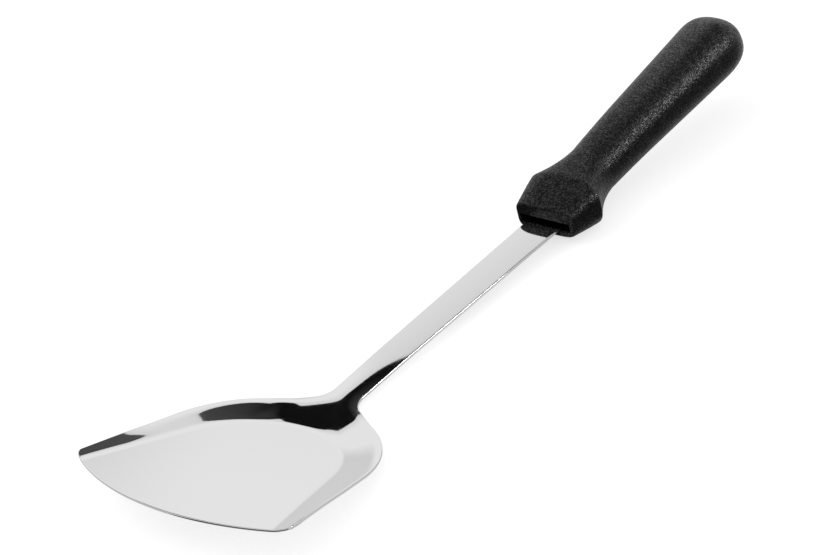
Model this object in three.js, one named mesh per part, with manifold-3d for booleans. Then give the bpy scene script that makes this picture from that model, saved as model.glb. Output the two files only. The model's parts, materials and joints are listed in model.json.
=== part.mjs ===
// A wok spatula: one pressed stainless sheet makes the blade, shank and tang, and the tang is
// pushed into a moulded black handle. Millimetres, +Z up, lying on a table on its heel and handle.
//
// The sheet is drawn with the blade level: x across it, y from its front edge towards the handle
// and z up from the top of its floor. The handle is drawn along its own length, from the collar's
// front face at y = 0, with z = 0 on top of the tang. Last, the whole is laid on the table.

import * as THREE from 'three';
import { mergeVertices } from 'three/addons/utils/BufferGeometryUtils.js';
import Module from 'manifold-3d';

const degrees = THREE.MathUtils.degToRad;
const { lerp, smoothstep } = THREE.MathUtils;

// The sheet
const sheetThickness = 1.3;
const groundThickness = 0.9;
const groundLength = 7;

// The blade: a flat floor inside a shallow flared rim
const frontWidth = 102;
const frontBow = 15;
const cornerRadius = 3;
const sideTaper = degrees(7.1);
const shoulderRadius = 43;
const backSlope = degrees(28.6);
const bladeLength = 101.9;
const floorLength = 84.13;
const foldRadius = 35.53;
const foldTaper = degrees(15.6);
const foldSoftness = 1.6;
const rimAngle = degrees(12);
const backRimAngle = degrees(13.5);
const tipRimAngle = degrees(14.5);
const tipLength = 52;
const edgeRoll = degrees(8);
const edgeRollWidth = 2.8;

// The neck and the shank
const heelAngle = degrees(23.8);
const heelLength = 17.5;
const neckAngle = degrees(16);
const neckSpread = 21.1;
const neckFalloff = 2.93;
const neckStraightness = 0.49;
const neckReach = 2;
const neckSoftness = 4.2;
const neckFillet = 8;
const neckWidth = 13.6;
const neckCrown = 0.56;
const crownFade = 32;
const shankAngle = degrees(15.3);
const shankReach = 129;
const shankEndWidth = 16.2;
const shankCrown = 0.066;

// The tang, cranked up to the line of the handle just inside its mouth
const crankAngle = degrees(5.5);
const crankInset = 6;
const crankSoftness = 4;
const tangLength = 68;
const tangEndWidth = 10;
const tangEndTaper = 5;
const barbCount = 3;
const barbDepth = 1.4;
const barbPitch = 11;
const barbStep = 0.6;

// The handle
const handleLength = 146;
const axisAboveTang = 3.3;
const collarLength = 16.4;
const collarBevel = 0.9;
const collarFrontWidth = 28;
const collarFrontHeight = 13;
const collarFrontSquareness = 4.5;
const collarBackWidth = 34.8;
const collarBackHeight = 22.4;
const collarBackSquareness = 3.2;
const collarDrop = 1.9;
const collarDropFade = 55;
const neckLength = 20;
const gripThinWidth = 21.2;
const gripThickWidth = 27.6;
const gripSquareness = 2.5;
const buttLength = 19;
const buttSquareness = 2.5;
const buttSlant = 0.3;

// The mouth in the collar and the pocket behind it
const mouthWidth = 24.3;
const mouthRise = 2.3;
const mouthDepth = 12;
const pocketClearance = 0.3;

// How finely the surfaces are divided
const sheetColumns = 32;
const bladeStep = 4;
const shankStep = 12;
const arcStep = degrees(7);
const ringPoints = 44;
const taperSteps = 5;
const domeSteps = 9;

const handleAngle = shankAngle + crankAngle;
const collarY = bladeLength + shankReach;
const crankY = collarY + crankInset * Math.cos(handleAngle);

// Rises from 0 at slope 1 once u passes 0, rounded for a length of soft on either side.
function softRamp(u, soft) {
  if (u <= -soft) return 0;
  if (u >= soft) return u;
  return (u + soft) ** 2 / (4 * soft);
}

// How far a point in plan lies outside the fold round the floor: two straight sides and a round back.
function outsideFold(x, y) {
  const across = Math.abs(x);
  const along = y - (floorLength - foldRadius);
  if (Math.atan2(along, across) > foldTaper) return Math.hypot(across, along) - foldRadius;
  return across * Math.cos(foldTaper) + along * Math.sin(foldTaper) - foldRadius;
}

// The neck's height at a distance outside the fold: steepest at the heel.
function neckHeight(out) {
  const ramp = softRamp(out, foldSoftness);
  const eased = Math.min(ramp, heelLength);
  const steeper = Math.tan(heelAngle) - Math.tan(neckAngle);
  return Math.tan(neckAngle) * ramp + steeper * (eased - eased ** 2 / (2 * heelLength));
}

// The height of the sheet's middle line: level floor, heel, shank and cranked tang.
function spineHeight(y) {
  const shank = softRamp(y - bladeLength - neckReach, neckSoftness);
  const crank = softRamp(y - crankY, crankSoftness);
  return neckHeight(y - floorLength)
    + (Math.tan(shankAngle) - Math.tan(neckAngle)) * shank
    + (Math.tan(handleAngle) - Math.tan(shankAngle)) * crank;
}

// The rim flares from the fold, more steeply at the tips and behind the floor, where it turns into the neck.
function flareHeight(x, y) {
  const roundBack = Math.atan2(y - (floorLength - foldRadius), Math.abs(x));
  const side = lerp(tipRimAngle, rimAngle, smoothstep(y, 0.6 * tipLength, tipLength));
  const angle = lerp(side, backRimAngle, smoothstep(roundBack, degrees(20), degrees(50)));
  const out = outsideFold(x, y);
  const rim = Math.tan(angle) * softRamp(out, foldSoftness);
  const within = 1 - smoothstep(Math.abs(x), 0.57 * neckSpread, 1.1 * neckSpread);
  const straight = neckStraightness * within * smoothstep(out, 0, neckFillet / 2);
  const neck = neckHeight(lerp(out, y - floorLength, straight));
  return lerp(rim, neck, Math.exp(-((Math.abs(x) / neckSpread) ** neckFalloff)));
}

// How far the sheet's edges drop below its middle: most at the neck, fading along the shank.
function crownDepth(y) {
  const raised = neckCrown * smoothstep(y, floorLength, bladeLength + neckReach / 2);
  const fade = smoothstep(y, bladeLength + neckReach / 2, bladeLength + crownFade);
  const shank = lerp(raised, shankCrown, fade);
  return lerp(shank, 0, smoothstep(y, collarY - crankInset, collarY));
}

// The top of the sheet; edge is the half width of the point's row, and lean the edge's heading there.
function topHeight(x, y, edge, lean) {
  const toShank = smoothstep(y, bladeLength - neckFillet, bladeLength + neckReach);
  const fromEdge = (edge - Math.abs(x)) * lean;
  const rolled = Math.tan(edgeRoll) * softRamp(edgeRollWidth - fromEdge, edgeRollWidth / 2);
  const flare = flareHeight(x, y) - rolled * smoothstep(y, tipLength / 2, floorLength);
  return lerp(flare, spineHeight(y), toShank) - crownDepth(y) * (x / edge) ** 2;
}

// A path through corners [x, y, radius], each rounded to its radius by an arc.
function roundedPath(corners) {
  const path = [];
  corners.forEach(([x, y, radius], i) => {
    const corner = new THREE.Vector2(x, y);
    if (!radius) {
      path.push(corner);
      return;
    }
    const from = new THREE.Vector2(...corners[i - 1]).sub(corner).normalize();
    const to = new THREE.Vector2(...corners[i + 1]).sub(corner).normalize();
    const half = Math.acos(from.dot(to)) / 2;
    const middle = from.clone().add(to).normalize();
    const centre = middle.clone().multiplyScalar(radius / Math.sin(half)).add(corner);
    const turn = Math.PI - 2 * half;
    const steps = Math.ceil(turn / arcStep);
    const start = from.clone().multiplyScalar(radius / Math.tan(half)).add(corner).sub(centre);
    const side = Math.sign(from.cross(to)) || 1;
    for (let k = 0; k <= steps; k += 1) {
      const point = start.clone().rotateAround(new THREE.Vector2(), (-side * turn * k) / steps);
      path.push(point.add(centre));
    }
  });
  return path;
}

// The same path with its long straight stretches divided.
function dividedPath(path) {
  const divided = [path[0]];
  path.slice(1).forEach((point, i) => {
    const step = point.y > bladeLength + neckReach ? shankStep : bladeStep;
    const pieces = Math.ceil(path[i].distanceTo(point) / step);
    for (let k = 1; k <= pieces; k += 1) divided.push(path[i].clone().lerp(point, k / pieces));
  });
  return divided;
}

// The front edge's bow: how far it falls back at a distance x from the middle.
function bowAt(x) {
  const radius = (frontWidth ** 2 / 4 + frontBow ** 2) / (2 * frontBow);
  return radius - Math.sqrt(radius ** 2 - x ** 2);
}

// The right-hand edge of the blank in plan, from the front corner to the end of the tang.
function sheetEdge() {
  const front = new THREE.Vector2(frontWidth / 2, frontBow);
  const neck = new THREE.Vector2(neckWidth / 2, bladeLength);
  const sideRun = Math.tan(sideTaper);
  const backRun = Math.tan(backSlope);
  const across = front.x - neck.x + sideRun * (front.y - neck.y);
  const shoulderX = neck.x + across / (1 - sideRun * backRun);
  const shoulderY = neck.y - backRun * (shoulderX - neck.x);
  const cornerX = front.x - 2 * cornerRadius;
  const tangX = shankEndWidth / 2;
  const tangEnd = crankY + (tangLength - crankInset) * Math.cos(handleAngle);
  const barbs = [];
  for (let k = barbCount; k > 0; k -= 1) {
    const y = tangEnd - tangEndTaper - k * barbPitch;
    barbs.push([tangX, y, 0], [tangX + barbDepth, y + barbStep, 0], [tangX, y + barbPitch - barbStep, 0]);
  }
  return dividedPath(roundedPath([
    [cornerX, bowAt(cornerX), 0],
    [front.x, front.y, cornerRadius],
    [shoulderX, shoulderY, shoulderRadius],
    [neck.x, neck.y, neckFillet],
    [tangX, collarY, 0],
    ...barbs,
    [tangX, tangEnd - tangEndTaper, 0],
    [tangEndWidth / 2, tangEnd, 0],
  ]));
}

// Rows of points on the sheet's top, each from its left edge to its right edge.
function sheetRows() {
  const edge = sheetEdge();
  return edge.map((end, i) => {
    const heading = edge[Math.min(i + 1, edge.length - 1)].clone().sub(edge[Math.max(i - 1, 0)]);
    const lean = Math.abs(heading.normalize().y);
    const bow = 1 - smoothstep(end.y, edge[0].y, floorLength);
    return Array.from({ length: sheetColumns + 1 }, (_, j) => {
      const x = end.x * ((2 * j) / sheetColumns - 1);
      const y = end.y - bow * (bowAt(end.x) - bowAt(x));
      return new THREE.Vector3(x, y, topHeight(x, y, end.x, lean));
    });
  });
}

// The sheet's underside: each top point moved in along the surface's normal.
function undersideRows(rows) {
  return rows.map((row, i) => row.map((point, j) => {
    const before = rows[Math.max(i - 1, 0)][j];
    const after = rows[Math.min(i + 1, rows.length - 1)][j];
    const across = row[Math.min(j + 1, sheetColumns)].clone().sub(row[Math.max(j - 1, 0)]);
    const normal = across.cross(after.clone().sub(before)).normalize();
    const ground = THREE.MathUtils.clamp((point.y - bowAt(point.x)) / groundLength, 0, 1);
    const thickness = lerp(groundThickness, sheetThickness, ground);
    return point.clone().addScaledVector(normal, -thickness);
  }));
}

// A closed skin over two grids of points, the upper one and the lower one.
function sheetGeometry(upper, lower) {
  const rowCount = upper.length;
  const rowLength = upper[0].length;
  const index = (layer, i, j) => (layer * rowCount + i) * rowLength + j;
  const triangles = [];
  const quad = (a, b, c, d) => triangles.push(a, b, c, a, c, d);
  for (let i = 0; i < rowCount - 1; i += 1) {
    for (let j = 0; j < rowLength - 1; j += 1) {
      quad(index(0, i, j), index(0, i, j + 1), index(0, i + 1, j + 1), index(0, i + 1, j));
      quad(index(1, i, j), index(1, i + 1, j), index(1, i + 1, j + 1), index(1, i, j + 1));
    }
    const last = rowLength - 1;
    quad(index(0, i, 0), index(0, i + 1, 0), index(1, i + 1, 0), index(1, i, 0));
    quad(index(0, i, last), index(1, i, last), index(1, i + 1, last), index(0, i + 1, last));
  }
  for (let j = 0; j < rowLength - 1; j += 1) {
    const last = rowCount - 1;
    quad(index(0, 0, j), index(1, 0, j), index(1, 0, j + 1), index(0, 0, j + 1));
    quad(index(0, last, j), index(0, last, j + 1), index(1, last, j + 1), index(1, last, j));
  }
  const geometry = new THREE.BufferGeometry().setFromPoints([upper, lower].flat(2));
  geometry.setIndex(triangles);
  return geometry;
}

// The handle's cross-sections in order: place along it, width, height and how square each is.
function handleSections() {
  const neckEnd = collarLength + neckLength;
  const domeStart = handleLength - buttLength;
  const frontWidthInBevel = collarFrontWidth - 2 * collarBevel;
  const frontHeightInBevel = collarFrontHeight - 2 * collarBevel;
  const sections = [
    { y: 0, width: frontWidthInBevel, height: frontHeightInBevel, power: collarFrontSquareness, dome: 0 },
    { y: collarBevel, width: collarFrontWidth, height: collarFrontHeight, power: collarFrontSquareness, dome: 0 },
  ];
  for (let k = 1; k <= taperSteps; k += 1) {
    const t = k / taperSteps;
    sections.push({
      y: lerp(collarBevel, collarLength, t),
      width: lerp(collarFrontWidth, collarBackWidth, t),
      height: lerp(collarFrontHeight, collarBackHeight, t),
      power: lerp(collarFrontSquareness, collarBackSquareness, t),
      dome: 0,
    });
  }
  for (let k = 1; k <= taperSteps; k += 1) {
    const t = k / taperSteps;
    sections.push({
      y: lerp(collarLength, neckEnd, t),
      width: lerp(gripThinWidth, collarBackWidth, (1 - t) ** 2),
      height: lerp(gripThinWidth, collarBackHeight, (1 - t) ** 2),
      power: lerp(collarBackSquareness, gripSquareness, t),
      dome: 0,
    });
  }
  for (let k = 1; k <= taperSteps; k += 1) {
    const t = k / taperSteps;
    const width = lerp(gripThinWidth, gripThickWidth, t);
    sections.push({ y: lerp(neckEnd, domeStart, t), width, height: width, power: gripSquareness, dome: 0 });
  }
  for (let k = 1; k < domeSteps; k += 1) {
    const dome = Math.sin((Math.PI / 2) * (k / domeSteps));
    const width = gripThickWidth * (1 - dome ** buttSquareness) ** (1 / buttSquareness);
    const y = domeStart + buttLength * dome;
    sections.push({ y, width, height: width, power: gripSquareness, dome });
  }
  return sections;
}

// The height of the handle's middle above the tang: it sinks towards the collar.
function handleMiddle(y) {
  const fade = THREE.MathUtils.clamp((y - collarLength) / collarDropFade, 0, 1);
  return axisAboveTang - collarDrop * (1 - fade) ** 2;
}

// One ring of points: a rounded square or oval, leaning with the slanted butt.
function sectionRing({ y, width, height, power, dome }) {
  return Array.from({ length: ringPoints }, (_, k) => {
    const angle = (2 * Math.PI * k) / ringPoints;
    const reach = (value) => Math.sign(value) * Math.abs(value) ** (2 / power);
    const x = (width / 2) * reach(Math.cos(angle));
    const z = (height / 2) * reach(Math.sin(angle));
    return new THREE.Vector3(x, y - buttSlant * dome * z, handleMiddle(y) + z);
  });
}

// A closed loft through rings of points, with a point at either end.
function loftGeometry(rings, startPoint, endPoint) {
  const points = [startPoint, ...rings.flat(), endPoint];
  const count = rings[0].length;
  const at = (i, k) => 1 + i * count + (k % count);
  const triangles = [];
  for (let k = 0; k < count; k += 1) {
    triangles.push(0, at(0, k), at(0, k + 1));
    triangles.push(points.length - 1, at(rings.length - 1, k + 1), at(rings.length - 1, k));
    for (let i = 0; i < rings.length - 1; i += 1) {
      triangles.push(at(i, k), at(i + 1, k), at(i + 1, k + 1));
      triangles.push(at(i, k), at(i + 1, k + 1), at(i, k + 1));
    }
  }
  const geometry = new THREE.BufferGeometry().setFromPoints(points);
  geometry.setIndex(triangles);
  return geometry;
}

// A box given by its width, its span along the handle and its span in height.
function cutter(width, y0, y1, z0, z1) {
  const box = new THREE.BoxGeometry(width, y1 - y0, z1 - z0);
  return box.translate(0, (y0 + y1) / 2, (z0 + z1) / 2);
}

const wasm = await Module();
wasm.setup();

function toSolid(geometry) {
  const bare = geometry.clone();
  bare.deleteAttribute('normal');
  bare.deleteAttribute('uv');
  const merged = mergeVertices(bare);
  return new wasm.Manifold(new wasm.Mesh({
    numProp: 3,
    vertProperties: new Float32Array(merged.attributes.position.array),
    triVerts: new Uint32Array(merged.index.array),
  }));
}

function toGeometry(solid) {
  const { vertProperties, triVerts } = solid.getMesh();
  const geometry = new THREE.BufferGeometry();
  geometry.setAttribute('position', new THREE.BufferAttribute(vertProperties, 3));
  geometry.setIndex(new THREE.BufferAttribute(triVerts, 1));
  return geometry;
}

function bladeMesh() {
  const upper = sheetRows();
  const geometry = sheetGeometry(upper, undersideRows(upper));
  geometry.computeVertexNormals();
  const material = new THREE.MeshStandardMaterial({ color: 0xd3d4d5, metalness: 1, roughness: 0.12 });
  const mesh = new THREE.Mesh(geometry, material);
  mesh.name = 'blade_and_shank';
  return mesh;
}

function handleMesh() {
  const sections = handleSections();
  const rings = sections.map(sectionRing);
  const front = new THREE.Vector3(0, 0, handleMiddle(0));
  const butt = new THREE.Vector3(0, handleLength, handleMiddle(handleLength));
  const body = toSolid(loftGeometry(rings, front, butt));
  const pocketFloor = -sheetThickness - pocketClearance;
  const pocketWidth = shankEndWidth + 2 * (barbDepth + pocketClearance);
  const mouth = cutter(mouthWidth, -mouthDepth, mouthDepth, pocketFloor, mouthRise);
  const pocket = cutter(pocketWidth, 0, tangLength + pocketClearance, pocketFloor, pocketClearance);
  const geometry = toGeometry(body.subtract(toSolid(mouth)).subtract(toSolid(pocket)));
  geometry.computeVertexNormals();
  const material = new THREE.MeshStandardMaterial({ color: 0x1d1d1e, metalness: 0, roughness: 0.5 });
  const mesh = new THREE.Mesh(geometry, material);
  mesh.name = 'handle';
  return mesh;
}

// The handle's frame starts on the line of the tang's top, at the collar's front face.
function placeHandle(mesh) {
  const crank = new THREE.Vector3(0, crankY, spineHeight(crankY - crankSoftness)
    + crankSoftness * Math.tan(shankAngle));
  const along = new THREE.Vector3(0, Math.cos(handleAngle), Math.sin(handleAngle));
  mesh.position.copy(crank).addScaledVector(along, -crankInset);
  mesh.rotation.x = handleAngle;
  mesh.updateMatrix();
}

// The lowest point of a mesh when the whole is tipped forward by an angle.
function lowestPoint(mesh, angle) {
  const position = mesh.geometry.attributes.position;
  const down = new THREE.Vector3(0, -Math.sin(angle), Math.cos(angle));
  let lowest = null;
  for (let k = 0; k < position.count; k += 1) {
    const point = new THREE.Vector3().fromBufferAttribute(position, k).applyMatrix4(mesh.matrix);
    if (!lowest || point.dot(down) < lowest.dot(down)) lowest = point;
  }
  return lowest;
}

// The angle at which the heel of the blade and the underside of the handle both touch the table.
function restAngle(blade, handle) {
  let angle = shankAngle;
  for (let k = 0; k < 8; k += 1) {
    const heel = lowestPoint(blade, angle);
    const under = lowestPoint(handle, angle);
    angle = Math.atan2(under.z - heel.z, under.y - heel.y);
  }
  return angle;
}

const blade = bladeMesh();
const handle = handleMesh();
placeHandle(handle);

const spatula = new THREE.Group();
spatula.add(blade, handle);
spatula.rotation.x = -restAngle(blade, handle);
spatula.updateMatrixWorld(true);
const bounds = new THREE.Box3().setFromObject(spatula, true);
const middle = bounds.getCenter(new THREE.Vector3());
spatula.position.set(-middle.x, -middle.y, -bounds.min.z);

const part = new THREE.Group();
part.add(spatula);

export default part;
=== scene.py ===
"""A wok spatula: a pressed, polished blade and shank in a moulded black handle, in a pale studio."""

import json
import math

import bmesh
import bpy
from bpy.props import FloatProperty, FloatVectorProperty, IntProperty, PointerProperty
from mathutils import Matrix, Vector


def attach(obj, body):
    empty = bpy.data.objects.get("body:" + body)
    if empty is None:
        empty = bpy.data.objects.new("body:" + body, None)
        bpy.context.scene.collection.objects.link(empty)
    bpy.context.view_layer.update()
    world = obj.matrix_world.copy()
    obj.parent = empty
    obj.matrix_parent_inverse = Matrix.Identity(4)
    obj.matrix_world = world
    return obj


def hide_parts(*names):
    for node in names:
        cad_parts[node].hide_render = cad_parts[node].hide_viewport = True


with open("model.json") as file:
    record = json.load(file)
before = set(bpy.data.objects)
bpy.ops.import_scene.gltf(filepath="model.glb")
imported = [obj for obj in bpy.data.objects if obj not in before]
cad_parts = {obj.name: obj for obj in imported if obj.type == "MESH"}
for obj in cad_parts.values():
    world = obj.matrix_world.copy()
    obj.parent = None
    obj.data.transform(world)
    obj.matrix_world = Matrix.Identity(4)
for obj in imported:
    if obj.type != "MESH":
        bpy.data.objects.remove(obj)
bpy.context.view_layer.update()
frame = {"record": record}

bl_info = {
    "name": "Wok Spatula",
    "version": (1, 0, 0),
    "blender": (4, 5, 0),
    "location": "3D View > Sidebar > Spatula",
    "description": "Models a pressed stainless wok spatula with a moulded handle, and a pale studio",
    "category": "Add Mesh",
}

SOLE = next(mount for mount in frame["record"]["mounts"] if mount["name"] == "sole")

# Numbers that differ by less than this count as equal.
NEAR = 1e-6

# Faces that meet at a larger angle than this, in radians, have a sharp edge between them.
SHEET_CREASE = math.radians(50)
HANDLE_CREASE = math.radians(35)
MOUTH_CREASE = 1

# Rings of points along each part of the handle.
COLLAR_RINGS = 8
NECK_RINGS = 14
GRIP_RINGS = 12
BUTT_RINGS = 24

# Steps along the bowed front edge and round its corner.
BOW_STEPS = 60
CORNER_STEPS = 9

# The tip's flare starts to fade at this share of the tip's length.
TIP_FADE = 0.6

# Bearings round the fold's back, from straight across, between which the flare of the side turns
# into that of the back.
BACK_FROM = math.radians(20)
BACK_TO = math.radians(50)

# Shares of the neck's spread between which its straightness fades.
STRAIGHT_TO = 0.57
STRAIGHT_END = 1.1

# The bowed rows even out over this many times the front edge's bow.
EVEN_LENGTH = 1.5

# Faces along and up the dark flag.
FLAG_COLUMNS = 27
FLAG_ROWS = 8

# The dark cards lie this far above the floor.
CARD_LIFT = 0.0005


def length(name, millimetres, description):
    """A length property, given in millimetres."""
    return FloatProperty(
        name=name, description=description, default=millimetres / 1000, unit="LENGTH", precision=5
    )


def angle(name, degrees, description):
    """An angle property, given in degrees."""
    return FloatProperty(
        name=name,
        description=description,
        default=math.radians(degrees),
        subtype="ANGLE",
        unit="ROTATION",
    )


def linear(hex_colour):
    """The linear colour of an sRGB hex value such as E2E2E3."""
    channels = [int(hex_colour[i:i + 2], 16) / 255 for i in (0, 2, 4)]
    return tuple(c / 12.92 if c <= 0.04045 else ((c + 0.055) / 1.055) ** 2.4 for c in channels)


def colour(name, hex_colour, description):
    """A colour property, given as an sRGB hex value."""
    return FloatVectorProperty(
        name=name, description=description, default=linear(hex_colour), subtype="COLOR", min=0, max=1
    )


class BladeSettings(bpy.types.PropertyGroup):
    """Sizes of the pressed sheet with the blade level: x across, y to the handle, z up from its floor."""

    sheet: length("Sheet", 1.3, "Thickness of the sheet")
    polish: length("Polish", 0.06, "Thickness that polishing takes off the sheet")
    ground_sheet: length("Ground edge", 0.9, "Thickness of the sheet at its ground front edge")
    ground_length: length("Ground length", 7, "How far back the sheet is ground thinner")
    sole_place: length("Sole", 50, "Place of the sole mount behind the front edge")
    front_width: length("Front width", 102, "Across the blade at its front corners")
    front_bow: length("Front bow", 15, "How far the front edge bows out between its corners")
    corner_radius: length("Corner radius", 3, "Radius of the front corners")
    side_taper: angle("Side taper", 7.1, "How much each side leans out towards the shoulder")
    shoulder_radius: length("Shoulder radius", 43, "Radius of the round shoulders")
    back_slope: angle("Back slope", 28.6, "Slope in plan of the edge from the shoulder to the neck")
    blade_length: length("Blade length", 101.9, "From the front edge to the neck")
    floor_length: length("Floor length", 84.13, "From the front edge to the heel of the fold")
    fold_radius: length("Fold radius", 35.53, "Radius in plan of the fold's round back")
    fold_taper: angle("Fold taper", 15.6, "How much the fold's sides open towards the front")
    fold_softness: length("Fold softness", 1.6, "Half width of the rounded fold")
    rim_angle: angle("Rim angle", 12, "Flare of the rim along the sides")
    back_rim_angle: angle("Back rim angle", 13.5, "Flare of the rim behind the floor")
    tip_rim_angle: angle("Tip rim angle", 14.5, "Flare of the rim at the front corners")
    tip_length: length("Tip length", 52, "Place behind the front edge where the tip's flare has faded")
    edge_roll: angle("Edge roll", 8, "How much the rim flattens along its edge")
    edge_roll_width: length("Edge roll width", 2.8, "Width of rim that flattens")
    heel_angle: angle("Heel angle", 23.8, "Rise of the sheet where it leaves the floor at the heel")
    heel_length: length("Heel length", 17.5, "Length along which that eases to the neck's rise")
    neck_angle: angle("Neck angle", 16, "Rise of the neck")
    neck_spread: length("Neck spread", 21.1, "How far to either side the neck's rise reaches")
    neck_falloff: FloatProperty(
        name="Neck falloff", description="How sharply the neck's rise ends at either side", default=2.93
    )
    neck_straightness: FloatProperty(
        name="Neck straightness", description="How straight across the neck's rise runs", default=0.49
    )
    neck_reach: length("Neck reach", 2, "From the neck's narrowest place to the bend into the shank")
    neck_softness: length("Neck softness", 4.2, "Half length of that bend")
    neck_fillet: length("Neck fillet", 8, "Radius in plan where the rim runs into the shank")
    neck_width: length("Neck width", 13.6, "Width of the shank at the neck")
    neck_crown: length("Neck crown", 0.56, "How far the edges of the neck drop below its middle")
    crown_fade: length("Crown fade", 32, "Length of shank along which the crown fades")
    shank_angle: angle("Shank angle", 15.3, "Rise of the shank above the blade's floor")
    shank_reach: length("Shank reach", 129, "From the neck to the collar, in plan")
    shank_end_width: length("Shank end width", 16.2, "Width of the shank at the collar")
    shank_crown: length("Shank crown", 0.066, "Crown that is left along the shank")
    crank_angle: angle("Crank", 5.5, "How much steeper the handle is than the shank")
    crank_inset: length("Crank inset", 6, "Place of the crank inside the collar")
    crank_softness: length("Crank softness", 4, "Half length of the crank's bend")
    tang_length: length("Tang length", 68, "Length of tang inside the handle")
    tang_end_width: length("Tang end width", 10, "Width of the tang's end")
    tang_end_taper: length("Tang end taper", 5, "Length of the tang's tapered end")
    barb_count: IntProperty(
        name="Barbs", description="Barbs on either edge of the tang", default=3, min=0
    )
    barb_depth: length("Barb depth", 1.4, "How far a barb stands out")
    barb_pitch: length("Barb pitch", 11, "From one barb to the next")
    barb_step: length("Barb step", 0.6, "Length of a barb's steep side")
    edge_rounding: length("Edge rounding", 0.26, "Radius of the tumbled edges")
    blade_step: length("Blade step", 0.9, "Spacing of the rows on the blade")
    shank_step: length("Shank step", 2.5, "Spacing of the rows on the shank")
    columns: IntProperty(
        name="Columns", description="Columns of faces across the sheet", default=96, min=8
    )
    steel: colour("Steel", "E1E1E1", "Colour that the polished steel gives to a reflection")


class HandleSettings(bpy.types.PropertyGroup):
    """Sizes of the moulded handle: y along it from the collar's front face, z up from the tang's top."""

    handle_length: length("Length", 145.95, "From the collar's front face to the butt")
    axis_rise: length("Axis rise", 3.3, "Height of the grip's axis above the tang")
    collar_length: length("Collar length", 16.4, "Length of the flared collar")
    collar_front_width: length("Collar front width", 28, "Width of the collar's front")
    collar_front_height: length("Collar front height", 13, "Height of the collar's front")
    collar_front_squareness: FloatProperty(
        name="Collar front squareness", description="Power of the front's rounded oblong", default=4.5
    )
    collar_back_width: length("Collar back width", 34.8, "Width of the collar's back edge")
    collar_back_height: length("Collar back height", 22.4, "Height of the collar's back edge")
    collar_back_squareness: FloatProperty(
        name="Collar back squareness", description="Power of the back edge's rounded oblong", default=3.2
    )
    collar_drop: length("Collar drop", 1.9, "How far the collar's middle sinks below the grip's axis")
    collar_drop_fade: length("Collar drop fade", 55, "Length of grip along which that fades")
    front_rounding: length("Front rounding", 0.9, "Rounding of the edge of the collar's front face")
    back_rounding: length("Back rounding", 0.5, "Rounding of the collar's back edge")
    neck_length: length("Neck length", 20, "Length of the hollow between collar and grip")
    thin_width: length("Thin end", 21.2, "Thickness of the grip at its neck")
    thick_width: length("Thick end", 27.53, "Thickness of the grip before its butt")
    grip_squareness: FloatProperty(
        name="Grip squareness", description="Power of the grip's rounded square", default=2.5
    )
    butt_length: length("Butt length", 19, "Length of the domed butt")
    butt_squareness: FloatProperty(
        name="Butt squareness", description="Power of the dome's profile", default=2.5
    )
    butt_slant: FloatProperty(
        name="Butt slant", description="How much the dome leans towards its top", default=0.3
    )
    mouth_width: length("Mouth width", 24.3, "Width of the slot in the collar's front face")
    mouth_rise: length("Mouth rise", 2.3, "Height of the slot above the tang")
    mouth_depth: length("Mouth depth", 12, "Depth of the slot")
    mouth_rounding: length("Mouth rounding", 0.25, "Rounding of the slot's edge")
    clearance: length("Clearance", 0.3, "Gap round the tang")
    ring_points: IntProperty(
        name="Ring points", description="Points round the handle", default=88, min=12
    )
    black: colour("Black", "0F0F10", "Colour of the black polypropylene")
    grain_size: length("Grain", 0.48, "Size of the stipple on the moulded surface")


class StudioSettings(bpy.types.PropertyGroup):
    """The studio: camera, floor, light of the room, and a dark flag for the steel to reflect."""

    azimuth: angle("Azimuth", 38.7, "The camera's place round the level blade, from front to right")
    elevation: angle("Elevation", 19.94, "The camera's height above the level blade")
    distance: length("Distance", 908.9, "From the camera to the point that it looks at")
    aim: FloatVectorProperty(
        name="Aim",
        description="The point that the camera looks at, with the blade level",
        default=(0.00499, 0.14073, 0.04448),
        subtype="XYZ",
        unit="LENGTH",
    )
    lens: FloatProperty(
        name="Lens", description="The camera's focal length", default=103.72, unit="CAMERA"
    )
    floor: colour("Floor", "D2D2D2", "Colour of the floor")
    floor_size: length("Floor size", 12000, "Width and length of the floor")
    floor_lift: FloatProperty(
        name="Floor lift", description="Light that the floor adds for the camera", default=0.68
    )
    gloss_lift: FloatProperty(
        name="Gloss lift", description="Light that the floor adds where it is mirrored", default=0.22
    )
    light_level: FloatProperty(
        name="Light level", description="How brightly the room lights what is dull", default=0.55
    )
    flag_from: angle("Flag from", 45, "Height above the level blade at which the dark flag starts")
    flag_to: angle("Flag to", 63, "Height above the level blade at which the dark flag ends")
    flag_left: angle("Flag left", -110, "The flag's left end, seen from the blade towards the handle")
    flag_right: angle("Flag right", 10, "The flag's right end")
    flag_distance: length("Flag distance", 20000, "From the blade to the flag")


def lerp(start, end, share):
    """The value at a share of the way from start to end."""
    return start + (end - start) * share


def smoothstep(value, low, high):
    """Rises smoothly from 0 at low to 1 at high."""
    share = min(max((value - low) / (high - low), 0), 1)
    return share * share * (3 - 2 * share)


def soft_ramp(u, soft):
    """Rises from 0 at slope 1 once u passes 0, rounded for a length of soft on either side."""
    if u <= -soft:
        return 0
    if u >= soft:
        return u
    return (u + soft) ** 2 / (4 * soft)


def blade_place(b):
    """The matrix from the level blade to the spatula as it lies, from the record's flat sole."""
    turn = math.atan2(SOLE["axis"][1], -SOLE["axis"][2])
    tilt = Matrix.Rotation(turn, 4, "X")
    sole = Vector((0, b.sole_place, -b.sheet))
    return Matrix.Translation(Vector(SOLE["pos_m"]) - tilt @ sole) @ tilt


def collar_y(b):
    """The place of the collar's front face."""
    return b.blade_length + b.shank_reach


def crank_y(b):
    """The place of the tang's crank."""
    return collar_y(b) + b.crank_inset * math.cos(b.shank_angle + b.crank_angle)


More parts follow.
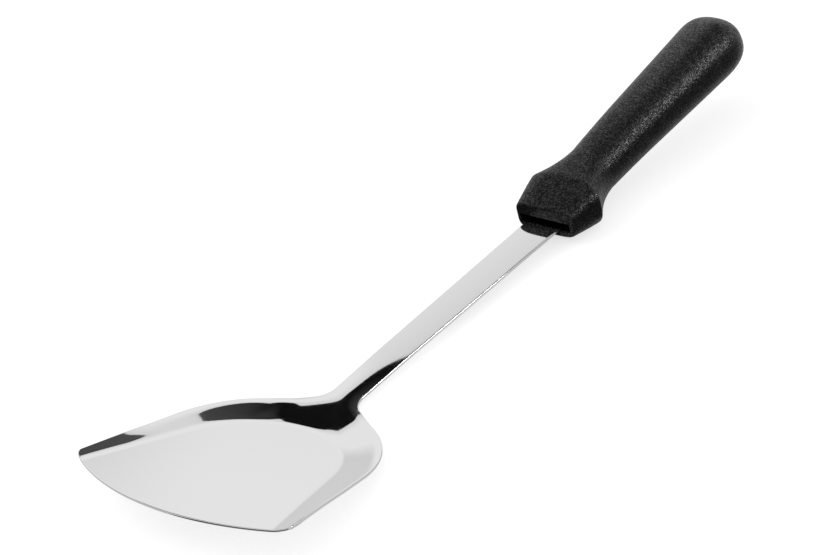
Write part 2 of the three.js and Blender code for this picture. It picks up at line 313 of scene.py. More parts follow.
def outside_fold(b, x, y):
    """How far a point in plan lies outside the fold, which has two straight sides and a round back."""
    across = abs(x)
    along = y - (b.floor_length - b.fold_radius)
    if math.atan2(along, across) > b.fold_taper:
        return math.hypot(across, along) - b.fold_radius
    return across * math.cos(b.fold_taper) + along * math.sin(b.fold_taper) - b.fold_radius


def neck_height(b, out):
    """The neck's height at a distance outside the fold: steepest at the heel."""
    ramp = soft_ramp(out, b.fold_softness)
    eased = min(ramp, b.heel_length)
    steeper = math.tan(b.heel_angle) - math.tan(b.neck_angle)
    return math.tan(b.neck_angle) * ramp + steeper * (eased - eased ** 2 / (2 * b.heel_length))


def spine_height(b, y):
    """The height of the sheet's middle line: level floor, heel, shank and cranked tang."""
    neck = math.tan(b.neck_angle)
    shank = math.tan(b.shank_angle)
    tang = math.tan(b.shank_angle + b.crank_angle)
    return (
        neck_height(b, y - b.floor_length)
        + (shank - neck) * soft_ramp(y - b.blade_length - b.neck_reach, b.neck_softness)
        + (tang - shank) * soft_ramp(y - crank_y(b), b.crank_softness)
    )


def flare_height(b, x, y):
    """The rim's height: it flares from the fold, more steeply at the tips, and turns into the neck."""
    round_back = math.atan2(y - (b.floor_length - b.fold_radius), abs(x))
    side = lerp(b.tip_rim_angle, b.rim_angle, smoothstep(y, TIP_FADE * b.tip_length, b.tip_length))
    flare = lerp(side, b.back_rim_angle, smoothstep(round_back, BACK_FROM, BACK_TO))
    out = outside_fold(b, x, y)
    rim = math.tan(flare) * soft_ramp(out, b.fold_softness)
    straight = b.neck_straightness * smoothstep(out, 0, b.neck_fillet / 2)
    straight *= 1 - smoothstep(abs(x), STRAIGHT_TO * b.neck_spread, STRAIGHT_END * b.neck_spread)
    neck = neck_height(b, lerp(out, y - b.floor_length, straight))
    return lerp(rim, neck, math.exp(-((abs(x) / b.neck_spread) ** b.neck_falloff)))


def crown_depth(b, y):
    """How far the sheet's edges drop below its middle: most at the neck, fading along the shank."""
    top = b.blade_length + b.neck_reach / 2
    raised = b.neck_crown * smoothstep(y, b.floor_length, top)
    shank = lerp(raised, b.shank_crown, smoothstep(y, top, b.blade_length + b.crown_fade))
    return lerp(shank, 0, smoothstep(y, collar_y(b) - b.crank_inset, collar_y(b)))


def top_height(b, x, y, edge, lean):
    """The top of the sheet; edge is the half width of the point's row, and lean its edge's heading."""
    to_shank = smoothstep(y, b.blade_length - b.neck_fillet, b.blade_length + b.neck_reach)
    from_edge = (edge - abs(x)) * lean
    rolled = math.tan(b.edge_roll) * soft_ramp(b.edge_roll_width - from_edge, b.edge_roll_width / 2)
    flare = flare_height(b, x, y) - rolled * smoothstep(y, b.tip_length / 2, b.floor_length)
    return lerp(flare, spine_height(b, y), to_shank) - crown_depth(b, y) * (x / edge) ** 2


def bow_at(b, x):
    """How far the bowed front edge falls back at a distance x from the middle."""
    radius = (b.front_width ** 2 / 4 + b.front_bow ** 2) / (2 * b.front_bow)
    return radius - math.sqrt(radius ** 2 - x ** 2)


def corner_arc(before, corner, after, radius, step):
    """Points of the arc that rounds a corner in plan."""
    back = (before - corner).normalized()
    on = (after - corner).normalized()
    half = back.angle(on) / 2
    centre = corner + (back + on).normalized() * (radius / math.sin(half))
    start = corner + back * (radius / math.tan(half)) - centre
    turn = math.pi - 2 * half
    side = 1 if back.cross(on) > 0 else -1
    count = max(3, math.ceil(turn * radius / step))
    return [centre + Matrix.Rotation(-side * turn * k / count, 2) @ start for k in range(count + 1)]


def divided(path, step, last_step, change):
    """The same path with its long stretches divided, in longer steps after the change."""
    points = [path[0]]
    for start, end in zip(path, path[1:]):
        pieces = math.ceil((end - start).length / (last_step if end.y > change else step) - NEAR)
        points += [start.lerp(end, k / pieces) for k in range(1, pieces + 1)]
    return points


def blank_outline(b):
    """The right half of the blank in plan: front edge with corner, and side to the end of the tang."""
    front = Vector((b.front_width / 2, b.front_bow))
    neck = Vector((b.neck_width / 2, b.blade_length))
    side_run, back_run = math.tan(b.side_taper), math.tan(b.back_slope)
    across = front.x - neck.x + side_run * (front.y - neck.y)
    shoulder_x = neck.x + across / (1 - side_run * back_run)
    shoulder = Vector((shoulder_x, neck.y - back_run * (shoulder_x - neck.x)))
    corner_x = front.x - 2 * b.corner_radius
    inside_corner = Vector((corner_x, bow_at(b, corner_x)))
    tang_x = b.shank_end_width / 2
    mouth = Vector((tang_x, collar_y(b)))
    handle_run = math.cos(b.shank_angle + b.crank_angle)
    tang_end = crank_y(b) + (b.tang_length - b.crank_inset) * handle_run
    barbs = []
    for k in range(b.barb_count, 0, -1):
        y = tang_end - b.tang_end_taper - k * b.barb_pitch
        barbs += [
            Vector((tang_x, y)),
            Vector((tang_x + b.barb_depth, y + b.barb_step)),
            Vector((tang_x, y + b.barb_pitch - b.barb_step)),
        ]
    corner = corner_arc(inside_corner, front, shoulder, b.corner_radius, b.corner_radius / CORNER_STEPS)
    places = [corner_x * k / BOW_STEPS for k in range(BOW_STEPS + 1)]
    bow = [Vector((x, bow_at(b, x))) for x in places]
    side = [
        corner[-1],
        *corner_arc(front, shoulder, neck, b.shoulder_radius, b.blade_step),
        *corner_arc(shoulder, neck, mouth, b.neck_fillet, b.blade_step / 2),
        mouth,
        *barbs,
        Vector((tang_x, tang_end - b.tang_end_taper)),
        Vector((b.tang_end_width / 2, tang_end)),
    ]
    side = divided(side, b.blade_step, b.shank_step, b.blade_length + b.neck_reach)
    lip = side[0].lerp(side[1], 2 * b.edge_rounding / (side[1] - side[0]).length)
    return bow + corner, [side[0], lip, *side[1:]]


def along(path, distance):
    """The point at a distance along a path."""
    for start, end in zip(path, path[1:]):
        step = (end - start).length
        if distance <= step:
            return start.lerp(end, distance / step)
        distance -= step
    return path[-1]


def across_row(b, half):
    """Places across a row of that half width, with one narrow column along either edge."""
    inner = half - 2 * b.edge_rounding
    places = [lerp(-inner, inner, k / (b.columns - 2)) for k in range(b.columns - 1)]
    return [-half, *places, half]


def sheet_rows(b):
    """Rows of points on the sheet's top with the blade level, each from left edge to right edge."""
    front, side = blank_outline(b)
    front_half = sum((end - start).length for start, end in zip(front, front[1:]))
    first = [(math.copysign(1, s), along(front, abs(s))) for s in across_row(b, front_half)]
    rows = []
    for i, end in enumerate(side):
        heading = side[min(i + 1, len(side) - 1)] - side[max(i - 1, 0)]
        lean = abs(heading.normalized().y)
        bow = 1 - smoothstep(end.y, side[0].y, b.floor_length)
        even = smoothstep(end.y, side[0].y, side[0].y + b.front_bow * EVEN_LENGTH)
        row = []
        for (sign, point), place in zip(first, across_row(b, end.x)):
            x = lerp(sign * point.x * end.x / side[0].x, place, even)
            y = end.y - bow * (side[0].y - point.y)
            row.append(Vector((x, y, top_height(b, x, y, end.x, lean))))
        rows.append(row)
    return rows


def start_piece(name):
    """The mesh object that an operator has just added, named and with its place in its mesh."""
    piece = bpy.context.active_object
    piece.name = piece.data.name = name
    bpy.ops.object.transform_apply(location=True, rotation=True, scale=True)
    return piece


def apply_modifier(piece, kind, **settings):
    """Adds a modifier with its settings and applies it."""
    modifier = piece.modifiers.new(kind.title(), kind)
    for setting, value in settings.items():
        setattr(modifier, setting, value)
    bpy.ops.object.modifier_apply(modifier=modifier.name)


def round_edges(piece, chosen, radius, segments):
    """Bevels the edges that chosen(edge) picks."""
    bpy.ops.object.mode_set(mode="EDIT")
    bpy.ops.mesh.select_mode(type="EDGE")
    bpy.ops.mesh.select_all(action="DESELECT")
    mesh = bmesh.from_edit_mesh(piece.data)
    found = [edge for edge in mesh.edges if chosen(edge)]
    if not found:
        raise RuntimeError(f"{piece.name}: there is no edge to round")
    for edge in found:
        edge.select = True
    bmesh.update_edit_mesh(piece.data)
    bpy.ops.mesh.bevel(offset=radius, segments=segments, affect="EDGES", clamp_overlap=False)
    bpy.ops.object.mode_set(mode="OBJECT")


def finish_piece(piece, node, material):
    """Gives a finished piece its material, and puts it in the place of its CAD node."""
    piece.data.materials.clear()
    piece.data.materials.append(material)
    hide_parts(node)
    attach(piece, "root")


def add_node(tree, kind, inputs=None, **settings):
    """Adds a node; inputs maps a socket's name or number to a value, or to an output to link."""
    node = tree.nodes.new(kind)
    for setting, value in settings.items():
        setattr(node, setting, value)
    for socket, value in (inputs or {}).items():
        if isinstance(value, bpy.types.NodeSocket):
            tree.links.new(value, node.inputs[socket])
        else:
            node.inputs[socket].default_value = value
    return node


def new_material(name):
    """An empty node material, with its tree and its shader."""
    material = bpy.data.materials.new(name)
    material.use_nodes = True
    return material, material.node_tree, material.node_tree.nodes["Principled BSDF"]


def mirror_polished_stainless(b):
    """Cold-rolled stainless steel, pressed and then buffed on a wheel."""
    # Buffing leaves a mirror with hair-fine lines along the stroke and a slight swell from the press,
    # so reflections have clear but not razor-sharp edges. Real lines are about 0.02 mm apart. They are
    # drawn 0.5 mm apart, so that they show.
    material, tree, shader = new_material("mirror_polished_stainless")
    place = add_node(tree, "ShaderNodeTexCoord").outputs["Object"]
    stroke = add_node(tree, "ShaderNodeMapping", {"Vector": place, "Scale": (1, 0.03, 1)})
    lines = add_node(
        tree, "ShaderNodeTexNoise", {"Vector": stroke.outputs[0], "Scale": 1 / 0.0005, "Detail": 3}
    )
    swell = add_node(tree, "ShaderNodeTexNoise", {"Vector": place, "Scale": 1 / 0.018, "Detail": 1})
    haze = add_node(tree, "ShaderNodeTexNoise", {"Vector": place, "Scale": 1 / 0.03, "Detail": 4})
    worn = add_node(
        tree,
        "ShaderNodeMath",
        {0: lines.outputs["Fac"], 1: haze.outputs["Fac"]},
        operation="MULTIPLY",
    )
    gloss = add_node(
        tree,
        "ShaderNodeMapRange",
        {"Value": worn.outputs[0], "From Min": 0.1, "From Max": 0.45, "To Min": 0.03, "To Max": 0.06},
    )
    swelling = add_node(
        tree, "ShaderNodeBump", {"Height": swell.outputs["Fac"], "Strength": 0.1, "Distance": 0.00003}
    )
    relief = add_node(
        tree,
        "ShaderNodeBump",
        {
            "Height": lines.outputs["Fac"],
            "Strength": 0.03,
            "Distance": 0.00002,
            "Normal": swelling.outputs[0],
        },
    )
    shader.inputs["Base Color"].default_value = (*b.steel, 1)
    shader.inputs["Metallic"].default_value = 1
    tree.links.new(gloss.outputs[0], shader.inputs["Roughness"])
    tree.links.new(relief.outputs[0], shader.inputs["Normal"])
    return material


def grained_polypropylene(h):
    """Black polypropylene moulded in a spark-eroded tool."""
    # The tool leaves a fine stipple: a near-black, dull surface whose tiny facets sparkle where
    # they catch a lamp.
    material, tree, shader = new_material("spark_eroded_black_polypropylene")
    place = add_node(tree, "ShaderNodeTexCoord").outputs["Object"]
    fineness = 1 / h.grain_size
    grain = add_node(tree, "ShaderNodeTexNoise", {"Vector": place, "Scale": fineness, "Detail": 1})
    pits = add_node(tree, "ShaderNodeTexVoronoi", {"Vector": place, "Scale": fineness})
    height = add_node(
        tree, "ShaderNodeMath", {0: grain.outputs["Fac"], 1: pits.outputs["Distance"]}, operation="ADD"
    )
    relief = add_node(
        tree, "ShaderNodeBump", {"Height": height.outputs[0], "Strength": 1, "Distance": 0.00008}
    )
    tone = add_node(
        tree,
        "ShaderNodeMapRange",
        {"Value": grain.outputs["Fac"], "From Min": 0.3, "From Max": 0.7, "To Min": 0, "To Max": 1},
    )
    # The tone follows the stipple's grain, so it is darker where the stipple is low and lighter where it
    # is high: partly the grain's own random tone, partly painted shade in its pits and painted light on
    # its peaks.
    pit_shade = (*(0.7 * c for c in h.black), 1)
    peak_light = (*(1.6 * c for c in h.black), 1)
    tint = add_node(
        tree, "ShaderNodeMix", {"Factor": tone.outputs[0], 6: pit_shade, 7: peak_light}, data_type="RGBA"
    )
    gloss = add_node(
        tree,
        "ShaderNodeMapRange",
        {"Value": grain.outputs["Fac"], "From Min": 0.3, "From Max": 0.7, "To Min": 0.2, "To Max": 0.3},
    )
    facet = add_node(tree, "ShaderNodeSeparateColor", {"Color": pits.outputs["Color"]})
    sparkle = add_node(
        tree,
        "ShaderNodeMapRange",
        {"Value": facet.outputs["Red"], "From Min": 0.4, "From Max": 1, "To Min": 0.1, "To Max": 0.75},
    )
    tree.links.new(tint.outputs[2], shader.inputs["Base Color"])
    tree.links.new(gloss.outputs[0], shader.inputs["Roughness"])
    tree.links.new(sparkle.outputs[0], shader.inputs["Specular IOR Level"])
    tree.links.new(relief.outputs[0], shader.inputs["Normal"])
    shader.inputs["IOR"].default_value = 1.49
    return material


def pale_floor(studio):
    """Matt white paper, which keeps its shadows and shows as white to the eye and in polished steel."""
    material, tree, shader = new_material("matt_white_paper")
    ray = add_node(tree, "ShaderNodeLightPath")
    seen = add_node(
        tree,
        "ShaderNodeMath",
        {0: ray.outputs["Is Camera Ray"], 1: ray.outputs["Is Transmission Ray"]},
        operation="MAXIMUM",
    )
    white = add_node(
        tree, "ShaderNodeMath", {0: seen.outputs[0], 1: studio.floor_lift}, operation="MULTIPLY"
    )
    lift = add_node(
        tree,
        "ShaderNodeMath",
        {0: ray.outputs["Is Glossy Ray"], 1: studio.gloss_lift, 2: white.outputs[0]},
        operation="MULTIPLY_ADD",
    )
    shader.inputs["Base Color"].default_value = (*studio.floor, 1)
    shader.inputs["Roughness"].default_value = 0.9
    shader.inputs["Specular IOR Level"].default_value = 0.1
    shader.inputs["Emission Color"].default_value = (1, 1, 1, 1)
    tree.links.new(lift.outputs[0], shader.inputs["Emission Strength"])
    return material


def black_felt():
    """Black felt, for the flag and the cards; paler round to the back, a painted lightening that greys
    the flag's reflection there.
    """
    material, tree, shader = new_material("black_felt")
    place = add_node(tree, "ShaderNodeTexCoord").outputs["Object"]
    axes = add_node(tree, "ShaderNodeSeparateXYZ", {"Vector": place})
    bearing = add_node(
        tree, "ShaderNodeMath", {0: axes.outputs["X"], 1: axes.outputs["Y"]}, operation="ARCTAN2"
    )
    # Painted light: the felt grows paler with bearing.
    tone = add_node(
        tree,
        "ShaderNodeMapRange",
        {
            "Value": bearing.outputs[0],
            "From Min": math.radians(-44),
            "From Max": math.radians(-27),
            "To Min": 0.0116,
            "To Max": 0.17,
        },
    )
    tree.links.new(tone.outputs[0], shader.inputs["Base Color"])
    shader.inputs["Roughness"].default_value = 1
    shader.inputs["Specular IOR Level"].default_value = 0
    return material


def glowing_card():
    """Glowing white card, a little brighter than the room: painted light that stands in for a lit bounce
    card.
    """
    material, _, shader = new_material("glowing_card")
    shader.inputs["Base Color"].default_value = (0, 0, 0, 1)
    shader.inputs["Specular IOR Level"].default_value = 0
    shader.inputs["Emission Color"].default_value = (1, 1, 1, 1)
    # Painted light: the card glows by its own emission, with no lamp on it.
    shader.inputs["Emission Strength"].default_value = 1.3
    return material


class SPATULA_OT_blade(bpy.types.Operator):
    """Model the blade, shank and tang from one pressed sheet"""

    bl_idname = "spatula.blade"
    bl_label = "Blade and Shank"

    def execute(self, context):
        b = context.scene.spatula_blade
        rows = sheet_rows(b)
        bpy.ops.object.select_all(action="DESELECT")
        bpy.ops.mesh.primitive_grid_add(x_subdivisions=b.columns, y_subdivisions=len(rows) - 1, size=2)
        blade = start_piece("pressed_blade")
        lying = blade_place(b)
        thickness = blade.vertex_groups.new(name="thickness")
        for vertex in blade.data.vertices:
            column = round((vertex.co.x + 1) / 2 * b.columns)
            row = round((vertex.co.y + 1) / 2 * (len(rows) - 1))
            point = rows[row][column]
            behind_edge = point.y - bow_at(b, min(abs(point.x), b.front_width / 2))
            full = min(max(behind_edge / b.ground_length, 0), 1)
            thickness.add([vertex.index], full, "REPLACE")
            vertex.co = lying @ point
        apply_modifier(
            blade,
            "SOLIDIFY",
            thickness=b.sheet - b.polish,
            offset=-1,
            use_even_offset=True,
            vertex_group="thickness",
            thickness_vertex_group=b.ground_sheet / (b.sheet - b.polish),
        )
        mouth = (lying @ Vector((0, collar_y(b) + b.crank_inset, spine_height(b, collar_y(b))))).y

        def in_the_open(edge):
            return max(v.co.y for v in edge.verts) < mouth

        round_edges(
            blade,
            lambda edge: edge.calc_face_angle(0) > SHEET_CREASE and in_the_open(edge),
            b.edge_rounding,
            segments=3,
        )
        bpy.ops.object.shade_smooth_by_angle(angle=SHEET_CREASE)
        apply_modifier(blade, "WEIGHTED_NORMAL", keep_sharp=True)
        finish_piece(blade, "blade_and_shank", mirror_polished_stainless(b))
        return {"FINISHED"}


def handle_sections(h):
    """The handle's cross-sections in order: place, width, height, squareness and share of the dome."""
    neck_end = h.collar_length + h.neck_length
    dome_start = h.handle_length - h.butt_length
    sections = []
    for k in range(COLLAR_RINGS + 1):
        t = k / COLLAR_RINGS
        width = lerp(h.collar_front_width, h.collar_back_width, t)
        height = lerp(h.collar_front_height, h.collar_back_height, t)
        power = lerp(h.collar_front_squareness, h.collar_back_squareness, t)
        sections.append((h.collar_length * t, width, height, power, 0))
    for k in range(1, NECK_RINGS + 1):
        t = k / NECK_RINGS
        width = lerp(h.thin_width, h.collar_back_width, (1 - t) ** 2)
        height = lerp(h.thin_width, h.collar_back_height, (1 - t) ** 2)
        power = lerp(h.collar_back_squareness, h.grip_squareness, t)
        sections.append((lerp(h.collar_length, neck_end, t), width, height, power, 0))
    for k in range(1, GRIP_RINGS + 1):
        t = k / GRIP_RINGS
        width = lerp(h.thin_width, h.thick_width, t)
        sections.append((lerp(neck_end, dome_start, t), width, width, h.grip_squareness, 0))
    for k in range(1, BUTT_RINGS):
        dome = math.sin(math.pi / 2 * k / BUTT_RINGS)
        width = h.thick_width * (1 - dome ** h.butt_squareness) ** (1 / h.butt_squareness)
        sections.append((dome_start + h.butt_length * dome, width, width, h.grip_squareness, dome))
    return sections


def handle_middle(h, y):
    """The height of the handle's middle above the tang: it sinks towards the collar."""
    fade = min(max((y - h.collar_length) / h.collar_drop_fade, 0), 1)
    return h.axis_rise - h.collar_drop * (1 - fade) ** 2


def section_point(h, section, turn):
    """The point at a turn round a section: a rounded square or oblong, leaning with the slanted butt."""
    y, width, height, power, dome = section
    x = width / 2 * math.copysign(abs(math.cos(turn)) ** (2 / power), math.cos(turn))
    z = height / 2 * math.copysign(abs(math.sin(turn)) ** (2 / power), math.sin(turn))
    return Vector((x, y - h.butt_slant * dome * z, handle_middle(h, y) + z))


def handle_place(b):
    """The matrix from the handle's own frame to the spatula as it lies."""
    rise = b.shank_angle + b.crank_angle
    bend = spine_height(b, crank_y(b) - b.crank_softness) + b.crank_softness * math.tan(b.shank_angle)
    start = Vector((0, crank_y(b), bend)) - b.crank_inset * Vector((0, math.cos(rise), math.sin(rise)))
    return blade_place(b) @ Matrix.Translation(start) @ Matrix.Rotation(rise, 4, "X")


def cut_slot(piece, width, start, end, low, high):
    """Cuts a box-shaped slot into a piece."""
    bpy.ops.mesh.primitive_cube_add(
        size=1, location=(0, (start + end) / 2, (low + high) / 2), scale=(width, end - start, high - low)
    )
    box = start_piece("slot")
    bpy.context.view_layer.objects.active = piece
    apply_modifier(piece, "BOOLEAN", operation="DIFFERENCE", object=box, solver="EXACT")
    bpy.data.objects.remove(box)
    piece.select_set(True)


class SPATULA_OT_handle(bpy.types.Operator):
    """Model the handle: a flared collar with a slot for the tang, a grip and a domed butt"""

    bl_idname = "spatula.handle"
    bl_label = "Handle"

    def execute(self, context):
        b = context.scene.spatula_blade
        h = context.scene.spatula_handle
        sections = handle_sections(h)
        bpy.ops.object.select_all(action="DESELECT")
        rings = len(sections) + 1
        bpy.ops.mesh.primitive_uv_sphere_add(segments=h.ring_points, ring_count=rings, radius=1)
        handle = start_piece("moulded_handle")
        for vertex in handle.data.vertices:
            ring = round(math.acos(min(max(-vertex.co.z, -1), 1)) / math.pi * rings)
            if ring == 0:
                vertex.co = (0, 0, handle_middle(h, 0))
            elif ring == rings:
                vertex.co = (0, h.handle_length, handle_middle(h, h.handle_length))
            else:
                vertex.co = section_point(h, sections[ring - 1], math.atan2(vertex.co.y, vertex.co.x))
        bpy.ops.object.mode_set(mode="EDIT")
        bpy.ops.mesh.select_all(action="SELECT")
        bpy.ops.mesh.normals_make_consistent(inside=False)
        bpy.ops.mesh.select_mode(type="VERT")
        bpy.ops.mesh.select_all(action="DESELECT")
        # The pole in the middle of the collar's front goes, so that the front is one flat face.
        mesh = bmesh.from_edit_mesh(handle.data)
        for vertex in mesh.verts:
            in_front = abs(vertex.co.x) < NEAR and abs(vertex.co.y) < NEAR
            vertex.select = in_front and len(vertex.link_edges) > 8
        bpy.ops.mesh.dissolve_verts()
        bpy.ops.object.mode_set(mode="OBJECT")
        round_edges(
            handle,
            lambda edge: all(abs(v.co.y) < NEAR for v in edge.verts),
            h.front_rounding,
            segments=4,
        )
        round_edges(
            handle,
            lambda edge: all(abs(v.co.y - h.collar_length) < NEAR for v in edge.verts),
            h.back_rounding,
            segments=3,
        )
        floor = -b.sheet - h.clearance
        pocket = b.shank_end_width + 2 * (b.barb_depth + h.clearance)
        cut_slot(handle, h.mouth_width, -h.mouth_depth, h.mouth_depth, floor, h.mouth_rise)
        cut_slot(handle, pocket, 0, b.tang_length + h.clearance, floor, h.clearance)
        spare = 10 * NEAR
        half = h.mouth_width / 2 + spare

        def at_mouth(vertex):
            x, y, z = vertex.co
            return abs(y) < NEAR and abs(x) < half and floor - spare < z < h.mouth_rise + spare

        round_edges(
            handle,
            lambda edge: all(at_mouth(v) for v in edge.verts) and edge.calc_face_angle(0) > MOUTH_CREASE,
            h.mouth_rounding,
            segments=2,
        )
        handle.data.transform(handle_place(b))
        bpy.ops.object.shade_smooth_by_angle(angle=HANDLE_CREASE)
        finish_piece(handle, "handle", grained_polypropylene(h))
        return {"FINISHED"}


def add_lamp(name, place, target, size, power):
    """A square soft box that faces its target."""
    bpy.ops.object.light_add(type="AREA", location=place)
    lamp = bpy.context.active_object
    lamp.name = name
    lamp.data.size = size
    lamp.data.energy = power
    lamp.visible_camera = False
    lamp.rotation_euler = (Vector(target) - Vector(place)).to_track_quat("-Z", "Y").to_euler()
    return lamp


def only_for_gloss(piece):
    """Leaves a piece of the stage in reflections only."""
    piece.visible_camera = False
    piece.visible_diffuse = False
    piece.visible_shadow = False


def pale_room(studio, level):
    """The world: plain white to the eye, an even light, and a room of several tones to gloss."""
    world = bpy.data.worlds.new("pale_studio")
    world.use_nodes = True
    tree = world.node_tree
    ray = add_node(tree, "ShaderNodeLightPath")
    shown = add_node(
        tree,
        "ShaderNodeMath",
        {0: ray.outputs["Is Camera Ray"], 1: ray.outputs["Is Transmission Ray"]},
        operation="MAXIMUM",
    )
    plain = add_node(
        tree, "ShaderNodeMix", {"Factor": shown.outputs[0], "A": studio.light_level, "B": 1}
    )

    bearing = add_node(tree, "ShaderNodeTexCoord").outputs["Generated"]
    axes = add_node(tree, "ShaderNodeSeparateXYZ", {"Vector": bearing})
    height = add_node(
        tree,
        "ShaderNodeVectorMath",
        {0: bearing, 1: level.to_3x3() @ Vector((0, 0, 1))},
        operation="DOT_PRODUCT",
    )

    # The walls are bright and the ceiling is dimmer.
    sky = add_node(
        tree,
        "ShaderNodeMapRange",
        {
            "Value": height.outputs["Value"],
            "From Min": math.sin(math.radians(36.5)),
            "From Max": math.sin(math.radians(52)),
            "To Min": 1,
            "To Max": 0.72,
        },
        interpolation_type="SMOOTHSTEP",
    )

    # The walls dim towards the floor. At the left a low, darker bank stands before them.
    haze = add_node(
        tree,
        "ShaderNodeMapRange",
        {
            "Value": axes.outputs["Z"],
            "From Min": 0,
            "From Max": math.sin(math.radians(15)),
            "To Min": 0.7,
            "To Max": 1,
        },
    )
    bank = add_node(
        tree,
        "ShaderNodeMapRange",
        {
            "Value": axes.outputs["Z"],
            "From Min": math.sin(math.radians(14)),
            "From Max": math.sin(math.radians(20)),
            "To Min": 0.78,
            "To Max": 1,
        },
    )
    left = (-0.985, 0.174, 0)
    side = add_node(tree, "ShaderNodeVectorMath", {0: bearing, 1: left}, operation="DOT_PRODUCT")
    beside = add_node(
        tree,
        "ShaderNodeMapRange",
        {"Value": side.outputs["Value"], "From Min": 0.748, "From Max": 0.8},
        interpolation_type="SMOOTHSTEP",
    )
    low = add_node(
        tree, "ShaderNodeMix", {"Factor": beside.outputs[0], "A": haze.outputs[0], "B": bank.outputs[0]}
    )

    # The front of the room is darker, most of all low down.
    front = add_node(
        tree,
        "ShaderNodeMapRange",
        {"Value": axes.outputs["Z"], "From Min": 0.05, "From Max": 0.9, "To Min": 0.2, "To Max": 1},
    )
    room = add_node(
        tree,
        "ShaderNodeMapRange",
        {
            "Value": axes.outputs["Y"],
            "From Min": -0.5,
            "From Max": 0.05,
            "To Min": front.outputs[0],
            "To Max": 1,
        },
        interpolation_type="SMOOTHSTEP",
    )

    # The ceiling is brightest at the front left, so that the pressed shape shows from above too.
    slant = add_node(
        tree, "ShaderNodeMath", {0: axes.outputs["X"], 1: axes.outputs["Y"]}, operation="ADD"
    )
    overhead = add_node(
        tree,
        "ShaderNodeMapRange",
        {"Value": slant.outputs[0], "From Min": -0.4, "From Max": 0.9, "To Min": 1.3, "To Max": 0.35},
    )
    ceiling = add_node(
        tree,
        "ShaderNodeMapRange",
        {
            "Value": height.outputs["Value"],
            "From Min": math.sin(math.radians(56)),
            "From Max": math.sin(math.radians(68)),
            "To Min": 1,
            "To Max": overhead.outputs[0],
        },
    )

    walls = add_node(
        tree, "ShaderNodeMath", {0: sky.outputs[0], 1: low.outputs[0]}, operation="MULTIPLY"
    )
    around = add_node(
        tree, "ShaderNodeMath", {0: room.outputs[0], 1: ceiling.outputs[0]}, operation="MULTIPLY"
    )
    mirrored = add_node(
        tree, "ShaderNodeMath", {0: walls.outputs[0], 1: around.outputs[0]}, operation="MULTIPLY"
    )
    strength = add_node(
        tree,
        "ShaderNodeMix",
        {"Factor": ray.outputs["Is Glossy Ray"], "A": plain.outputs[0], "B": mirrored.outputs[0]},
    )
    background = tree.nodes["Background"]
    background.inputs["Color"].default_value = (1, 1, 1, 1)
    tree.links.new(strength.outputs[0], background.inputs["Strength"])
    return world


def camera_place(studio, level):
    """The camera's matrix: it looks at its aim, upright to the level blade."""
    sin_a, cos_a = math.sin(studio.azimuth), math.cos(studio.azimuth)
    sin_e, cos_e = math.sin(studio.elevation), math.cos(studio.elevation)
    right = Vector((cos_a, sin_a, 0))
    back = Vector((sin_a * cos_e, -cos_a * cos_e, sin_e))
    turn = Matrix((right, back.cross(right), back)).transposed().to_4x4()
    eye = Vector(studio.aim) + studio.distance * back
    return level @ Matrix.Translation(eye) @ turn


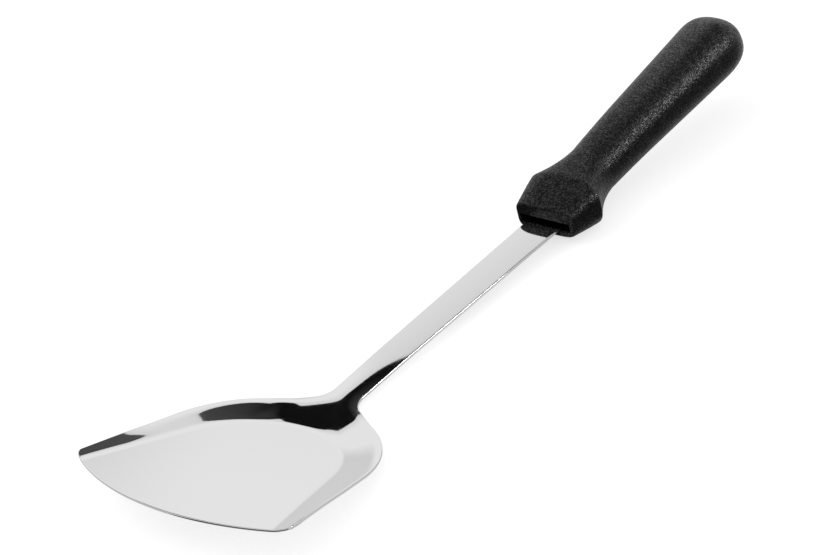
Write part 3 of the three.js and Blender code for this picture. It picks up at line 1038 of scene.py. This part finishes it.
class SPATULA_OT_studio(bpy.types.Operator):
    """Set up the pale floor, the flag and the cards, the lamps, the room and the camera"""

    bl_idname = "spatula.studio"
    bl_label = "Studio"

    def execute(self, context):
        studio = context.scene.spatula_studio
        level = blade_place(context.scene.spatula_blade)
        bpy.ops.object.select_all(action="DESELECT")
        bpy.ops.mesh.primitive_plane_add(size=studio.floor_size)
        floor = start_piece("paper_floor")
        floor.data.materials.append(pale_floor(studio))

        # The flag is a band of dark cloth far off, over the blade's back left.
        bpy.ops.mesh.primitive_grid_add(x_subdivisions=FLAG_COLUMNS, y_subdivisions=FLAG_ROWS, size=2)
        flag = start_piece("dark_flag")
        for vertex in flag.data.vertices:
            bearing = lerp(studio.flag_left, studio.flag_right, (vertex.co.x + 1) / 2)
            height = lerp(studio.flag_from, studio.flag_to, (vertex.co.y + 1) / 2)
            run = math.cos(height)
            away = Vector((math.sin(bearing) * run, math.cos(bearing) * run, math.sin(height)))
            vertex.co = level @ (studio.flag_distance * away)
        felt = black_felt()
        flag.data.materials.append(felt)
        only_for_gloss(flag)

        # Dark cards lie beside the handle, under the collar and before the blade: painted shade that only
        # gloss sees, dark in the reflections of the handle and the blade's front edge.
        cards = {
            "side_card": ((0.02, 0.035), (0.45, 0.3)),
            "collar_card": ((-0.06, -0.03), (0.004, 0.045)),
            "front_card": ((-0.02, -0.6), (0.4, -0.2)),
        }
        for name, (low, high) in cards.items():
            bpy.ops.mesh.primitive_plane_add()
            card = start_piece(name)
            for vertex in card.data.vertices:
                x = high[0] if vertex.co.x > 0 else low[0]
                y = high[1] if vertex.co.y > 0 else low[1]
                vertex.co = (x, y, CARD_LIFT)
            card.data.materials.append(felt)
            only_for_gloss(card)

        # A glowing card hangs to the left of the butt: painted light that gives its top a sheen in
        # reflection.
        butt = Vector((0, 0.175, 0.04))
        away = Vector((-0.5, 0.6, 0.62))
        bpy.ops.mesh.primitive_plane_add(
            size=0.13, location=butt + 0.28 * away, rotation=away.to_track_quat("Z", "Y").to_euler()
        )
        sheen_card = start_piece("glowing_sheen_card")
        sheen_card.data.materials.append(glowing_card())
        only_for_gloss(sheen_card)

        # The larger box only lights and shades. Its mirror image would cut white patches out of the rim.
        target = (0, 0.05, 0.03)
        add_lamp("soft_box_right", (1.4, 0.93, 0.34), target, size=0.32, power=6)
        fill = add_lamp("soft_box_front_left", (-1.2, -0.9, 1.6), target, size=1.6, power=8)
        fill.visible_glossy = False

        context.scene.world = pale_room(studio, level)

        bpy.ops.object.camera_add()
        camera = context.active_object
        camera.name = "photo_camera"
        camera.data.lens = studio.lens
        camera.matrix_world = camera_place(studio, level)
        context.scene.camera = camera
        context.scene.view_settings.view_transform = "Standard"
        return {"FINISHED"}


class SPATULA_PT_panel(bpy.types.Panel):
    """Lists the spatula's pieces and their settings"""

    bl_idname = "SPATULA_PT_panel"
    bl_label = "Wok Spatula"
    bl_space_type = "VIEW_3D"
    bl_region_type = "UI"
    bl_category = "Spatula"

    def draw(self, context):
        scene = context.scene
        groups = (
            (scene.spatula_blade, SPATULA_OT_blade),
            (scene.spatula_handle, SPATULA_OT_handle),
            (scene.spatula_studio, SPATULA_OT_studio),
        )
        for settings, operator in groups:
            column = self.layout.column(align=True)
            column.operator(operator.bl_idname)
            for name in settings.__annotations__:
                column.prop(settings, name)


CLASSES = (
    BladeSettings,
    HandleSettings,
    StudioSettings,
    SPATULA_OT_blade,
    SPATULA_OT_handle,
    SPATULA_OT_studio,
    SPATULA_PT_panel,
)


def register():
    """Adds the classes and the settings."""
    for kind in CLASSES:
        bpy.utils.register_class(kind)
    bpy.types.Scene.spatula_blade = PointerProperty(type=BladeSettings)
    bpy.types.Scene.spatula_handle = PointerProperty(type=HandleSettings)
    bpy.types.Scene.spatula_studio = PointerProperty(type=StudioSettings)


def unregister():
    """Takes the settings and the classes away again."""
    del bpy.types.Scene.spatula_studio
    del bpy.types.Scene.spatula_handle
    del bpy.types.Scene.spatula_blade
    for kind in reversed(CLASSES):
        bpy.utils.unregister_class(kind)


def main():
    """Models the pieces and the studio."""
    register()
    bpy.ops.spatula.blade()
    bpy.ops.spatula.handle()
    bpy.ops.spatula.studio()


if __name__ == "__main__":
    main()
